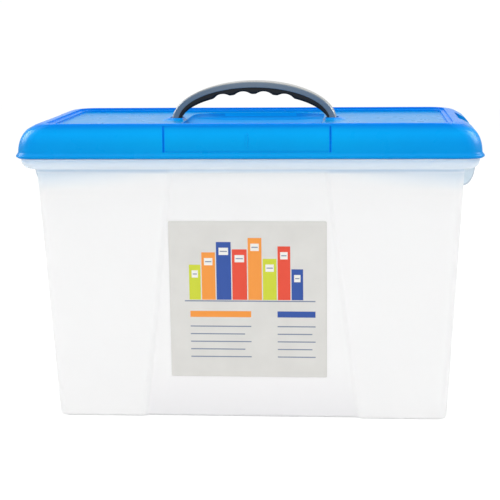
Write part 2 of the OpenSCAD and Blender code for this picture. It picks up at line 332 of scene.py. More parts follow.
def tub_ring(offset, z):
    """One level of the tub, with the soft-edged panels sunk into the front and the back."""
    half_l = BASE_L / 2 + offset
    half_w = BASE_W / 2 + offset
    radius = CORNER_R + 0.6 * max(0.0, offset - WALL_LEAN) - 0.5 * max(0.0, -offset)
    edge = PANEL_BASE_W / 2 + (PANEL_TOP_W - PANEL_BASE_W) / 2 * min(1.0, z / PANEL_TOP)
    down = smoothstep(0.5 + (PANEL_TOP - z) / PANEL_SOFT)
    soft = [PANEL_SOFT * t for t in (-0.5, -0.3, -0.1, 0.1, 0.3, 0.5)]
    side = []
    for x in [-edge + s for s in soft] + [0.0] + [edge + s for s in soft]:
        sunk = PANEL_DEPTH * down * smoothstep(0.5 + (edge - abs(x)) / PANEL_SOFT)
        side.append((x, half_w - sunk))
    points = []
    for corner in CORNERS:
        points += quarter(half_l, half_w, radius, corner)
        sx, sy, _ = corner
        if sx == sy:
            points += [(-sx * x, sx * y) for x, y in side]
    return [(x, y, z) for x, y in points]


def full(share):
    """Makes the shoulder's curve fuller than a quarter of an ellipse."""
    return max(0.0, share) ** SHOULDER_POWER


def shoulder(reach, depth, angles):
    """The curve from the wall out to the rim, as offsets and heights."""
    start = WALL_LEAN + SHOULDER_START
    return [(start + reach * full(sin(a)), TUB_H - depth * full(cos(a))) for a in angles]


def tub_profile():
    """Offset and height of each level, up the outside, over the upstand and down the inside."""
    # the base and its rounded edge
    outer = [(lean_at(0) - 14, 0), (lean_at(BASE_EDGE_R) - BASE_EDGE_R - 0.6, 0)]
    outer += [(lean_at(BASE_EDGE_R) - BASE_EDGE_R * (1 - sin(a)), BASE_EDGE_R * (1 - cos(a)))
              for a in arc(6)]
    # the wall, with levels close together where the sunk panels end
    outer += [(lean_at(z), z) for z in (60, 120, 180, 225)]
    outer += [(lean_at(z), z) for z in (PANEL_TOP - 1.5, PANEL_TOP - 0.9, PANEL_TOP - 0.3)]
    outer += [(WALL_LEAN + 0.1, PANEL_TOP + 0.3), (WALL_LEAN + 0.25, PANEL_TOP + 0.9),
              (WALL_LEAN + 0.4, WALL_TOP + 2.6), (WALL_LEAN + 0.8, WALL_TOP + 3.5)]
    # the shoulder, the rim and the upstand with its round top
    outer += shoulder(LEDGE - SHOULDER_START, SHOULDER_H, arc(12))
    upstand = WALL_LEAN + LEDGE - WALL
    top = UPSTAND_Z - UPSTAND_ROUND
    outer += [(upstand + UPSTAND_FOOT_R, TUB_H), (upstand, TUB_H + UPSTAND_FOOT_R), (upstand, top)]
    outer += [(upstand - WALL / 2 + WALL / 2 * cos(a), top + UPSTAND_ROUND * sin(a))
              for a in arc(6, 0, 180)]
    # down the inside to the floor
    inner = shoulder(LEDGE - 2 * WALL - SHOULDER_START, SHOULDER_H - WALL, arc(8, 90, 0))
    inner += [(WALL_LEAN - WALL + 0.8, WALL_TOP + 4.4), (WALL_LEAN - WALL + 0.2, WALL_TOP + 2.4)]
    inner += [(lean_at(z) - WALL, z) for z in (PANEL_TOP, PANEL_TOP - 1.5, 225, 120, 60)]
    inner += [(lean_at(8) - WALL - BASE_FILLET_R * (1 - cos(a)),
               BASE_T + BASE_FILLET_R * (1 - sin(a))) for a in arc(5)]
    inner += [(-16, BASE_T)]
    return outer + inner


def gusset():
    """Thin web under the clip's shelf; its free edge is a quarter of an ellipse."""
    inside = GUSSET_X - 4
    top = SHELF_Z - GUSSET_LIP
    edge = [(GUSSET_X + (GUSSET_OUT - GUSSET_X) * cos(a), top - (GUSSET_H - GUSSET_LIP) * sin(a))
            for a in arc(20, 90, 0)]
    return [(inside, GUSSET_Z)] + edge + [(GUSSET_OUT - 0.7, SHELF_Z), (inside, SHELF_Z)]


def seat_material():
    """What carries the catch at the right end: the seat's back, its shelf and two gussets."""
    low = SHELF_Z - WALL
    half = SEAT_W / 2 + WALL
    seat = box((SEAT_X - WALL, -half, low), (SEAT_X + 1.5, half, UPSTAND_Z))
    reach = GUSSET_Y + GUSSET_T / 2
    shelf = box((BASE_L / 2 + lean_at(low) - 1, -reach, low), (RIM_L / 2 - 0.1, reach, SHELF_Z))
    return add(seat, shelf, *[slab(gusset(), GUSSET_T, y) for y in (-GUSSET_Y, GUSSET_Y)])


def seat_cut():
    return box((SEAT_X, -SEAT_W / 2, SHELF_Z), (FAR, SEAT_W / 2, FAR))


def catch_rib():
    half = CATCH_W / 2
    return box((SEAT_X - 0.5, -half, CATCH_Z0), (SEAT_X + CATCH_OUT, half, CATCH_Z1))


def file_rail():
    x = BASE_L / 2 + WALL_LEAN - WALL
    return box((x, -RAIL_L / 2, WALL_TOP + 2), (x + WALL, RAIL_L / 2, RAIL_TOP))


def build_tub():
    tub = loft("tub", [tub_ring(offset, z) for offset, z in tub_profile()])
    add(tub, *both_ends(seat_material))
    cut(tub, *both_ends(seat_cut))
    add(tub, *both_ends(catch_rib), *both_ends(file_rail))
    return finish_mesh(tub, "tub_shell")


# ---- lid ----

ROLL = ((CREST_X, CREST_Z), (LID_L / 2 - 7.1, CREST_Z - 1.9),
        (LID_L / 2 - 0.3, CREST_Z - 12.8), (LID_L / 2, LID_Z + SIDE_START))


def on_roll(t):
    """Point of the rolled end's curve, from the crest at 0 to the side at 1."""
    parts = ((1 - t) ** 3, 3 * t * (1 - t) ** 2, 3 * t * t * (1 - t), t ** 3)
    return [sum(k * p[axis] for k, p in zip(parts, ROLL)) for axis in (0, 1)]


def roll_x(z):
    """Half-length of the lid's form at height z."""
    low, high = 0.0, 1.0
    for _ in range(40):
        t = (low + high) / 2
        if on_roll(t)[1] > z:
            low = t
        else:
            high = t
    return on_roll(low)[0]


def lid_levels():
    """Heights of the lid's slices above its side's start, closer together near the crest."""
    side = [on_roll(t)[1] for t in (1, 0.93, 0.86, 0.79, 0.72, 0.65, 0.58, 0.51, 0.44, 0.37)]
    edge = [CREST_Z - TOP_EDGE_R * (1 - sin(a)) for a in arc(6)]
    return [z for z in side if z < edge[0] - 0.4] + edge


def lid_slice(z, inward=0.0):
    """One level of the lid's form, moved in by inward."""
    rise = (z - LID_Z - SIDE_START) / (LID_H - SIDE_START)
    rise = min(1.0, max(0.0, rise))
    half_l = roll_x(z) if rise > 0 else LID_L / 2
    half_w = LID_W / 2 - SIDE_LEAN * rise
    over = max(0.0, z - (CREST_Z - TOP_EDGE_R))
    half_w -= TOP_EDGE_R - sqrt(max(0.0, TOP_EDGE_R ** 2 - over ** 2))
    radius = LID_CORNER_LOW + (LID_CORNER_HIGH - LID_CORNER_LOW) * rise
    radius = max(1.0, radius - inward)
    return plan_ring(2 * (half_l - inward), 2 * (half_w - inward), radius, z)


# offset and height of the bead along the lid's lower edge
BEAD = ((0.0, 0.0), (0.3, 0.2), (0.4, 0.7), (1.3, 0.85), (1.8, 1.15), (2.1, 1.7), (2.1, 2.3),
        (1.9, 2.9), (1.45, 3.5), (1.0, 4.0), (0.6, 4.5), (0.3, 5.0), (0.1, 5.5))


def lid_form():
    """The lid's outside as a full solid, without its recess."""
    rings = [plan_ring(LID_L + 2 * out, LID_W + 2 * out, LID_CORNER_LOW + out, LID_Z + height)
             for out, height in BEAD]
    rings += [lid_slice(z) for z in lid_levels()]
    return loft("form", rings)


def lid_inside():
    """The form moved in by the wall's thickness."""
    levels = [z for z in lid_levels() if z < CREST_Z - 1]
    rings = [plan_ring(LID_L - 2 * WALL, LID_W - 2 * WALL, LID_CORNER_LOW - WALL, LID_Z - 2)]
    rings += [[(x, y, h - WALL) for x, y, h in lid_slice(z, WALL)] for z in levels]
    return loft("inside", rings)


def top_recess(grow):
    """The two steps down from the crest to the top panel, with small rounded edges."""
    length = 2 * RECESS_X - 2 * STEP_W
    width = LID_W - 2 * BORDER_W - 2 * STEP_W
    radius = RECESS_R - STEP_W
    soft = STEP_SOFT
    profile = []
    for level in (0, 1):
        out = level * STEP_W + grow
        low = PANEL_Z + level * STEP_H - grow
        high = low + STEP_H
        profile += [(out - soft + soft * sin(a), low + soft * (1 - cos(a))) for a in arc(4)]
        profile += [(out + soft * (1 - cos(a)), high - soft + soft * sin(a))
                    for a in arc(4, 0, 80)]
    profile.append((2 * STEP_W, CREST_Z + 5))
    rings = [plan_ring(length + 2 * o, width + 2 * o, radius + o, z) for o, z in profile]
    return loft("recess", rings)


def hollow_floor(x):
    """Height of the hollow's sagging floor."""
    return PANEL_Z - HOLLOW_H + HOLLOW_SAG_R - sqrt(HOLLOW_SAG_R ** 2 - x * x)


def hollow():
    """The hand hollow: upright sides, a fillet and a floor that sags between the handle's feet."""
    def ring(inset, above=0.0, z=None):
        """One level, at height z or that far above the floor."""
        radius = max(4, HOLLOW_R - inset)
        plan = plan_ring(HOLLOW_L - 2 * inset, HOLLOW_W - 2 * inset, radius, 0)
        return [(x, y, hollow_floor(x) + above if z is None else z) for x, y, _ in plan]

    lip, fillet = HOLLOW_LIP, HOLLOW_FILLET
    rings = [ring(-1, z=PANEL_Z + 8), ring(-lip, z=PANEL_Z + 0.05)]
    rings += [ring(-lip * (1 - sin(a)), z=PANEL_Z - lip * (1 - cos(a))) for a in arc(3, 30, 90)]
    rings += [ring(fillet * (1 - cos(a)), fillet * (1 - sin(a))) for a in arc(6)]
    rings += [ring(inset) for inset in (8, 16, 26, 38, 50, 60)]
    return loft("hollow", rings)


def hollow_underside():
    """The hollow grown by the wall's thickness, as the lid's inside has to leave it."""
    edge = HOLLOW_L / 2 + WALL
    low, high = hollow_floor(0) - WALL - 1, CREST_Z + 5
    outline = [(x, hollow_floor(x) - WALL) for x in (-edge, *range(-66, 67, 12), edge)]
    outline += [(edge, high), (-edge, high)]
    plan = [plan_ring(HOLLOW_L + 2 * WALL, HOLLOW_W + 2 * WALL, HOLLOW_R + WALL, z)
            for z in (low, high)]
    return keep(slab(outline, LID_W), loft("plan", plan))


def pocket(grow):
    """Room for the clip at the right end."""
    half = POCKET_W / 2 + grow
    room = box((POCKET_X - grow, -half, POCKET_Z - grow), (FAR, half, FAR))
    return add(room, box((POCKET_SKIN_X - grow, -half, LID_Z - 5), (FAR, half, POCKET_Z)))


def collar():
    """Soft mound that one of the handle's feet stands on, with a small flat top."""
    def ring(spread, z, inset=0.0):
        low = COLLAR_INNER - MOUND_INNER * spread + inset
        high = COLLAR_OUTER + MOUND_SKIRT * spread - inset
        width = COLLAR_W + 2 * MOUND_SKIRT * spread - 2 * inset
        radius = 2.5 + 0.9 * MOUND_SKIRT * spread - inset / 3
        plan = plan_ring(high - low, width, radius, z)
        return [(x + (low + high) / 2, y, h) for x, y, h in plan]

    rise = FOOT_Z - PANEL_Z
    shares = [i / MOUND_LEVELS for i in range(MOUND_LEVELS + 1)]
    rings = [ring(1.0, PANEL_Z - 0.4 * rise)]
    rings += [ring((1 - s) ** 1.3, PANEL_Z + rise * smoothstep(s)) for s in shares]
    rings.append(ring(0.0, FOOT_Z + 0.001, 3))
    return loft("collar", rings)


def handle_slot():
    half = LEG_W / 2 + 0.2
    return box((LEG_INNER - 0.2, -half, PANEL_Z - WALL - 5), (SLOT_OUTER, half, FOOT_Z + 5))


def hinge_rods(radius, y0, y1):
    """Bars on both hinge lines, from y0 to y1 on each side of the middle."""
    spans = ((y0, y1), (-y1, -y0))
    right = [rod(radius, HINGE_X, HINGE_Z, *span) for span in spans]
    return right + [at_left(rod(radius, HINGE_X, HINGE_Z, *span)) for span in spans]


def side_band(side):
    """Slightly sunk band between two grooves, on the front or the back of the lid."""
    face = side * BAND_Y
    near, far = sorted((face, face + side * 10))
    band = box((-BAND_X, near, BAND_LOW), (BAND_X, far, BAND_HIGH))
    mouth, root = face + side * 1.5, face - side * SEAM_DEPTH
    grooves = []
    for x in (-BAND_X, BAND_X):
        wedge = ((x - SEAM_HALF_W, mouth), (x + SEAM_HALF_W, mouth), (x, root))
        ends = [[(wx, wy, z) for wx, wy in wedge] for z in (BAND_LOW, BAND_HIGH)]
        grooves.append(loft("groove", ends))
    return add(band, *grooves)


def rest_ribs():
    """Small ribs inside the skirt that rest on the tub's upstand."""
    ribs = []
    for x in REST_RIB_X:
        for side in (-1, 1):
            y = side * (LID_W / 2 - 2.6)
            ribs.append(box((x - 1, y - 2.2, UPSTAND_Z), (x + 1, y + 2.2, UPSTAND_Z + 12)))
    return ribs


def build_lid():
    inside = lid_inside()
    cut(inside, top_recess(WALL), hollow_underside())
    cut(inside, *both_ends(lambda: pocket(WALL)))
    lid = cut(lid_form(), inside, top_recess(0), hollow(), side_band(-1), side_band(1))
    bosses = hinge_rods(BOSS_R, POCKET_W / 2, POCKET_W / 2 + BOSS_L)
    add(lid, *both_ends(collar), *rest_ribs(), *[keep(boss, lid_form()) for boss in bosses])
    cut(lid, *both_ends(lambda: pocket(0)), *both_ends(handle_slot))
    cut(lid, *hinge_rods(PIN_R + PIN_CLEARANCE, POCKET_W / 2 - 1, POCKET_W / 2 + PIN_L + 0.3))
    return finish_mesh(lid, "lid_shell")


# ---- handle ----

def ellipse_point(a, b, t, drop=0.0):
    return Vector((a * cos(t), BOW_Z - drop + b * sin(t)))


def foot_angle(b, drop=0.0):
    """Where an ellipse of half-height b reaches the handle's feet."""
    return asin((FOOT_Z - BOW_Z + drop) / b)


def half_width(x, inset=0.0):
    """Half the handle's width at x: full in the middle, narrow at the feet."""
    return FOOT_W / 2 + (BOW_W - FOOT_W) / 2 * (1 - (x / BOW_A) ** 2) - inset


def section_ring(top, bottom, half, top_r, low_r):
    """Rounded rectangle across the handle between a top and a bottom point in X and Z."""
    down = bottom - top
    thick = down.length
    down.normalize()
    points = []
    corners = ((half - top_r, top_r, top_r, -90), (half - low_r, thick - low_r, low_r, 0),
               (low_r - half, thick - low_r, low_r, 90), (top_r - half, top_r, top_r, 180))
    for y, depth, r, start in corners:
        for a in arc(5, start, start + 90):
            p = top + down * (depth + r * sin(a))
            points.append((p.x, y + r * cos(a), p.y))
    return points


def stations(count, b_outer, b_inner, drop=0.0):
    """Pairs of angles along the outer and the inner curve, from one foot to the other."""
    outer, inner = foot_angle(b_outer), foot_angle(b_inner, drop)
    for i in range(count + 1):
        s = i / count
        yield outer + (pi - 2 * outer) * s, inner + (pi - 2 * inner) * s


def leg():
    """The leg under one foot, with the barb that holds it below the panel."""
    under = PANEL_Z - WALL
    outline = [(LEG_INNER, FOOT_Z + 1), (LEG_OUTER, FOOT_Z + 1), (LEG_OUTER, under - 0.3),
               (SLOT_OUTER + 1.8, under - 0.3), (LEG_OUTER, under - 5), (LEG_INNER, under - 5)]
    return slab(outline, LEG_W)


def build_bow():
    rings = []
    for t_outer, t_inner in stations(72, BOW_B, BOW_INNER_B):
        top = ellipse_point(BOW_A, BOW_B, t_outer)
        bottom = ellipse_point(BOW_INNER_A, BOW_INNER_B, t_inner)
        rings.append(section_ring(top, bottom, half_width(top.x), BOW_TOP_R, BOW_LOW_R))
    bow = loft("bow", rings)
    add(bow, *both_ends(leg))
    return finish_mesh(bow, "handle_bow")


def scallop_z(x):
    """Height of the grip's underside in the nearest finger scallop."""
    best = -FAR
    for k in (-1.5, -0.5, 0.5, 1.5):
        middle = k * FINGER_PITCH
        crown = BOW_Z + BOW_INNER_B * sqrt(1 - (middle / BOW_INNER_A) ** 2) - SCALLOP_T
        if abs(x - middle) < SCALLOP_R:
            best = max(best, crown - SCALLOP_R + sqrt(SCALLOP_R ** 2 - (x - middle) ** 2))
    return best


def soft_max(a, b, blend):
    """The larger of two values, with a rounded change from one to the other."""
    h = max(0.0, min(1.0, 0.5 + 0.5 * (a - b) / blend))
    return b + (a - b) * h + blend * h * (1 - h)


def build_grip():
    rings = []
    for t_outer, t_inner in stations(150, BOW_INNER_B, GRIP_B, GRIP_DROP):
        top = ellipse_point(BOW_INNER_A, BOW_INNER_B, t_outer)
        bottom = ellipse_point(GRIP_A, GRIP_B, t_inner, GRIP_DROP)
        bottom.y = soft_max(scallop_z(bottom.x), bottom.y, SCALLOP_BLEND)
        low_r = min(GRIP_LOW_R, 0.45 * (bottom - top).length)
        rings.append(section_ring(top, bottom, half_width(top.x, GRIP_INSET), GRIP_TOP_R, low_r))
    return finish_mesh(loft("grip", rings), "handle_soft_grip")


# ---- clips ----

def clip_outline():
    """Side of a clip: down the outside over the thumb ridge, round the toe and up the back."""
    out = PLATE_X + CLIP_T
    ridge = LID_Z + 0.2
    return [
        (HINGE_X, HINGE_Z + BARREL_R), (HINGE_X + 2.8, HINGE_Z + BARREL_R - 0.5),
        (HINGE_X + 4.4, HINGE_Z + 0.6), (out - 1.8, HINGE_Z - 3.4), (out - 0.4, HINGE_Z - 9),
        (out, ridge + 5.3), (out + 1.9, ridge + 4.9), (out + 2.9, ridge + 3.2),
        (out + 2.6, ridge + 1.2), (out + 0.5, ridge), (out, ridge - 0.4),
        (out, SHELF_Z + 1.8), (out - 0.7, SHELF_Z + 1), (TOE_X + 0.2, SHELF_Z + 1),
        (TOE_X, SHELF_Z + 1.4), (TOE_X, CATCH_Z0 - 0.9), (TOE_X + 0.5, CATCH_Z0 - 0.4),
        (PLATE_X, CATCH_Z0 - 0.4), (PLATE_X, HINGE_Z - 8.5), (PLATE_X - 0.4, HINGE_Z - 4.8),
        (HINGE_X + 3.4, HINGE_Z - 1.6)]


def build_clip(name, left):
    clip = slab(clip_outline(), CLIP_W)
    half = CLIP_W / 2 - 6
    cut(clip, box((PLATE_X + CLIP_T - 0.5, -half, LID_Z + 7.5), (FAR, half, HINGE_Z - 4.5)))
    pin = POCKET_W / 2 + PIN_L
    add(clip, rod(BARREL_R, HINGE_X, HINGE_Z, -CLIP_W / 2, CLIP_W / 2),
        rod(PIN_R, HINGE_X, HINGE_Z, -pin, pin))
    if left:
        at_left(clip)
    return finish_mesh(clip, name)


# ---- label ----

def build_label():
    rings = [plan_ring(LABEL_W + 2 * o, LABEL_H + 2 * o, LABEL_R + o, h, 8)
             for o, h in ((0, 0), (0, LABEL_T - LABEL_EDGE), (-LABEL_EDGE, LABEL_T))]
    label = loft("label", rings)
    lift = (LABEL_Z + LABEL_H / 2) / cos(DRAFT)
    label.data.transform(Matrix.Translation((0, -BASE_W / 2 * MM, 0))
                         @ Matrix.Rotation(pi / 2 + DRAFT, 4, "X")
                         @ Matrix.Translation((LABEL_X * MM, lift * MM, -PANEL_DEPTH * MM)))
    return finish_mesh(label, "paper_label")


# ---- materials ----

def linear(hex_colour):
    """A written sRGB colour as linear numbers."""
    channels = [int(hex_colour[i:i + 2], 16) / 255 for i in (0, 2, 4)]
    return tuple(c / 12.92 if c < 0.04045 else ((c + 0.055) / 1.055) ** 2.4 for c in channels)


class Nodes:
    """Small helper that builds one node material around a Principled shader."""

    def __init__(self, name):
        self.material = bpy.data.materials.new(name)
        self.material.use_nodes = True
        self.tree = self.material.node_tree
        self.shader = self.tree.nodes["Principled BSDF"]
        self.at = self.node("ShaderNodeTexCoord").outputs["Object"]
        self.colour = None

    def node(self, kind, **values):
        node = self.tree.nodes.new(kind)
        for key, value in values.items():
            setattr(node, key, value)
        return node

    def link(self, source, target):
        self.tree.links.new(source, target)

    def into(self, name, source):
        """Leads a value into one of the shader's sockets."""
        self.link(source, self.shader.inputs[name])

    def set(self, **values):
        """Sets the shader's sockets, with _ for each space in a name."""
        for key, value in values.items():
            self.shader.inputs[key.replace("_", " ")].default_value = value

    def noise(self, scale, detail):
        node = self.node("ShaderNodeTexNoise")
        node.inputs["Scale"].default_value = scale
        node.inputs["Detail"].default_value = detail
        self.link(self.at, node.inputs["Vector"])
        return node.outputs["Fac"]

    def ramp(self, factor, stops):
        node = self.node("ShaderNodeValToRGB")
        elements = node.color_ramp.elements
        while len(elements) < len(stops):
            elements.new(0.5)
        for element, (position, colour) in zip(elements, stops):
            element.position = position
            element.color = (*colour, 1.0)
        self.link(factor, node.inputs["Fac"])
        return node.outputs["Color"]

    def share(self, factor, *stops):
        """A ramp between plain numbers."""
        return self.ramp(factor, [(position, (value,) * 3) for position, value in stops])

    def map_range(self, value, from_low, from_high, to_low=0.0, to_high=1.0):
        node = self.node("ShaderNodeMapRange")
        node.inputs["From Min"].default_value = from_low
        node.inputs["From Max"].default_value = from_high
        node.inputs["To Min"].default_value = to_low
        node.inputs["To Max"].default_value = to_high
        self.link(value, node.inputs["Value"])
        return node.outputs["Result"]

    def spread(self, noise, low, high):
        """Stretches a noise, which stays mostly between 0.3 and 0.7, over a range."""
        return self.map_range(noise, 0.3, 0.7, low, high)

    def bump(self, height, strength, distance, over=None):
        """Bump of a depth in millimetres, on top of another one."""
        node = self.node("ShaderNodeBump")
        node.inputs["Strength"].default_value = strength
        node.inputs["Distance"].default_value = distance * MM
        self.link(height, node.inputs["Height"])
        if over is not None:
            self.link(over, node.inputs["Normal"])
        return node.outputs["Normal"]

    def math(self, operation, *values):
        node = self.node("ShaderNodeMath", operation=operation)
        for socket, value in zip(node.inputs, values):
            if isinstance(value, (int, float)):
                socket.default_value = value
            else:
                self.link(value, socket)
        return node.outputs[0]

    def times(self, a, b):
        return self.math("MULTIPLY", a, b)

    def axis(self, name):
        node = self.node("ShaderNodeSeparateXYZ")
        self.link(self.at, node.inputs[0])
        return node.outputs[name]

    def across(self, name):
        """Distance from the middle along an axis."""
        return self.math("ABSOLUTE", self.axis(name))

    def between(self, value, low, high):
        """0 to 1 as a length goes from low to high, in millimetres."""
        return self.map_range(value, low * MM, high * MM)

    def near(self, name, middle, reach):
        """1 within reach of a place on an axis, in millimetres, and 0 beyond."""
        return self.math("COMPARE", self.axis(name), middle * MM, reach * MM)

    def within(self, name, low, high):
        """1 between two places on an axis, in millimetres, and 0 beyond."""
        return self.near(name, (low + high) / 2, (high - low) / 2)

    def beside(self, name, middle, reach):
        """1 within reach of the same place on both sides of the middle, and 0 beyond."""
        return self.math("COMPARE", self.across(name), middle * MM, reach * MM)

    def drift(self, scale, detail, dark, light):
        """Starts the colour as a slow drift between two tones."""
        stops = ((0.3, linear(dark)), (0.7, linear(light)))
        self.colour = self.ramp(self.noise(scale, detail), stops)

    def tint(self, hex_colour, share):
        """Lays another colour over the present one, by a share."""
        node = self.node("ShaderNodeMix", data_type="RGBA")
        self.link(share, node.inputs[0])
        self.link(self.colour, node.inputs[6])
        node.inputs[7].default_value = (*linear(hex_colour), 1.0)
        self.colour = node.outputs[2]

    def patch(self, hex_colour, x, z, width, height):
        """Prints one upright rectangle."""
        share = self.times(self.near("X", x, width / 2), self.near("Z", z, height / 2))
        self.tint(hex_colour, share)

    def done(self):
        self.into("Base Color", self.colour)
        return self.material


def moulded(name, dark, light, rough, grain, bump, **sockets):
    """Moulded plastic: faint colour drift, fine grain, roughness that varies."""
    m = Nodes(name)
    m.drift(9.0, 2.0, dark, light)
    m.into("Roughness", m.spread(m.noise(60.0, 4.0), rough - 0.04, rough + 0.05))
    fine = m.bump(m.noise(grain, 2.0), bump, 0.03)
    m.into("Normal", m.bump(m.noise(25.0, 1.0), 0.1, 0.3, fine))
    m.set(**sockets)
    return m


def frosted_material():
    """Clear plastic with a frosted skin; the rim under the lid gets painted shade and painted blue
    light from the lid.
    """
    m = moulded("frosted_tub", "FCFBFB", "FEFDFD", 0.42, 1500.0, 0.1, IOR=1.46,
                Transmission_Weight=0.03, Specular_IOR_Level=0.3, Subsurface_Weight=1.0,
                Subsurface_Scale=0.0012, Subsurface_Radius=(1.0, 1.0, 1.0))
    across, height = m.across("X"), m.axis("Z")
    # painted shade and painted blue light from the lid, in bands along the rim under the lid
    rim_painted_shade_and_light = m.share(m.between(height, WALL_TOP - 16, TUB_H),
                  (0.0, 0.0), (0.5, 0.22), (0.56, 0.62), (0.62, 0.9),
                  (0.7, 0.6), (0.86, 0.7), (0.95, 0.9), (1.0, 0.3))
    m.tint("C6DAEC", rim_painted_shade_and_light)
    # painted shade: the walls are bluer under the rim, towards the ends
    under = m.share(m.between(height, WALL_TOP - 22, WALL_TOP), (0.0, 0.0), (1.0, 0.7))
    corner = m.share(m.between(across, 0, RIM_L / 2), (0.4, 0.0), (0.93, 1.0))
    wall = m.math("LESS_THAN", height, WALL_TOP * MM)
    m.tint("CDDDEA", m.times(wall, m.times(under, corner)))
    # painted shade: the sunk panels are a little greyer towards the base
    slope = (PANEL_BASE_W - PANEL_TOP_W) / 2 / PANEL_TOP
    sideways = m.math("ADD", across, m.times(height, slope))
    sunk = m.share(m.between(sideways, 0, PANEL_BASE_W), (0.48, 1.0), (0.52, 0.0))
    low = m.share(m.between(height, 0, 90), (0.0, 0.7), (1.0, 0.0))
    m.tint("E9E9EB", m.times(sunk, low))
    # painted light and shade on the two webs under each clip's shelf: a pale blue tint for light
    # through the thin plastic, and painted shade along their free edge
    outward = m.math("SUBTRACT", across, GUSSET_X * MM)
    outward = m.times(outward, 1 / ((GUSSET_OUT - GUSSET_X) * MM))
    upward = m.math("SUBTRACT", height, (SHELF_Z - GUSSET_LIP) * MM)
    upward = m.times(upward, 1 / ((GUSSET_H - GUSSET_LIP) * MM))
    ellipse = m.math("ADD", m.math("POWER", m.math("MAXIMUM", outward, 0.0), 2.0),
                     m.math("POWER", m.math("MINIMUM", upward, 0.0), 2.0))
    web = m.times(m.math("GREATER_THAN", across, (BASE_L / 2 + WALL_LEAN + 0.6) * MM),
                  m.math("LESS_THAN", height, (SHELF_Z - 0.5) * MM))
    m.tint("E0EBF3", web)
    m.tint("C3CDD6", m.times(web, m.share(ellipse, (0.8, 0.0), (0.92, 1.0))))
    return m.done()


def lid_material():
    """Blue plastic, with painted shade at the rolled ends, low down and along the crest's edge, and
    a painted lighter band high on the sides.
    """
    m = moulded("blue_lid", "009AE1", "00A2E7", 0.3, 1300.0, 0.05, Specular_IOR_Level=0.055)
    # painted shade: darker towards the rolled ends
    ends = m.between(m.across("X"), 90, LID_L / 2)
    m.tint("0089E4", m.share(ends, (0.0, 0.0), (0.8, 0.5), (0.93, 0.75), (1.0, 1.0)))
    height = m.between(m.axis("Z"), LID_Z, CREST_Z)
    # painted shade low on the sides
    m.tint("0092D2", m.share(height, (0.0, 0.6), (0.2, 0.55), (0.7, 0.0)))
    # painted light: a lighter band high on the sides
    m.tint("00AAF6", m.share(height, (0.45, 0.0), (0.72, 0.55), (0.9, 0.0)))
    # painted shade along the crest's edge, and a little low down
    m.tint("007BDF", m.share(height, (0.0, 0.2), (0.2, 0.1), (0.5, 0.0),
                             (0.82, 0.1), (0.93, 0.8), (1.0, 1.0)))
    # painted shade: the flat top panel is darker, which tones down its sheen
    panel = m.near("Y", 0, LID_W / 2 - BORDER_W - STEP_W)
    m.tint("008BD0", m.times(m.near("Z", PANEL_Z, 0.4), panel))
    # painted shade in the hollow, which is also duller
    floor = m.times(m.near("X", 0, HOLLOW_L / 2), m.near("Y", 0, HOLLOW_W / 2))
    floor = m.times(floor, m.within("Z", PANEL_Z - HOLLOW_H - 1, PANEL_Z - 1))
    m.tint("008CDA", floor)
    rough = m.shader.inputs["Roughness"].links[0].from_socket
    m.into("Roughness", m.math("ADD", rough, m.times(floor, 0.25)))
    # painted shade on the risers of the two steps at the panel's ends
    upper = m.within("Z", CREST_Z - STEP_H - 0.2, CREST_Z + 0.2)
    lower = m.within("Z", PANEL_Z - 0.2, PANEL_Z + STEP_H + 0.2)
    upper = m.times(m.beside("X", RECESS_X, 0.8), upper)
    lower = m.times(m.beside("X", RECESS_X - STEP_W, 0.8), lower)
    riser_painted_shade = m.math("MAXIMUM", upper, m.times(lower, 0.6))
    m.tint("008AF0", m.times(riser_painted_shade, m.near("Y", 0, LID_W / 2 - BORDER_W)))
    # painted shade in the four seams in the front and the back
    seam_painted_shade = m.times(m.beside("X", BAND_X, 1.2), m.within("Z", BAND_LOW, BAND_HIGH))
    m.tint("0080E4", m.times(seam_painted_shade, m.beside("Y", LID_W / 2, 3)))
    return m.done()


ORANGE, RED, LIME = "EE9436", "E0452B", "C8D02C"
NAVY, INK, PALE = "1F4A9C", "77839A", "E9E7E2"

# the printed bars: colour, middle, width and height
BARS = ((LIME, -52, 11, 34), (ORANGE, -39, 13, 46), (NAVY, -24.5, 14, 56), (RED, -9.5, 14, 49),
        (ORANGE, 5, 13, 60), (LIME, 19, 13, 40), (RED, 32.5, 12, 52), (NAVY, 45, 11, 30))
# the columns of rules below them: heading's colour, middle, width and what every second rule lacks
COLUMNS = ((ORANGE, -28, 58, 6), (NAVY, 44, 36, 3))
BARS_Z = LABEL_Z + 76
HEADING_Z = LABEL_Z + 62
RULES_Z = LABEL_Z + 50
RULE_PITCH = 7.5


def label_material():
    """Printed paper with a plain motif of upright bars and rules, and no lettering."""
    m = Nodes("label_paper")
    m.drift(40.0, 3.0, "D2D1CD", "D8D7D3")
    for colour, x, width, height in BARS:
        m.patch(colour, x, BARS_Z + height / 2, width, height)
        m.patch(PALE, x, BARS_Z + height - 9, width - 5, 7)
        m.patch(INK, x, BARS_Z + height - 9, width - 7, 1.0)
    m.patch(INK, 0, BARS_Z - 1.2, 124, 1.2)
    for colour, x, width, less in COLUMNS:
        m.patch(colour, x, HEADING_Z, width, 6)
        for row in range(5):
            short = less * (row % 2)
            m.patch(INK, x - short / 2, RULES_Z - RULE_PITCH * row, width - short, 1.1)
    m.into("Roughness", m.spread(m.noise(200.0, 4.0), 0.38, 0.46))
    m.into("Normal", m.bump(m.noise(1800.0, 3.0), 0.1, 0.05))
    return m.done()


FROSTED = frosted_material()
BLUE = lid_material()
BOW_GREY = moulded("bow_grey", "66747F", "6E7C87", 0.34, 1500.0, 0.15).done()
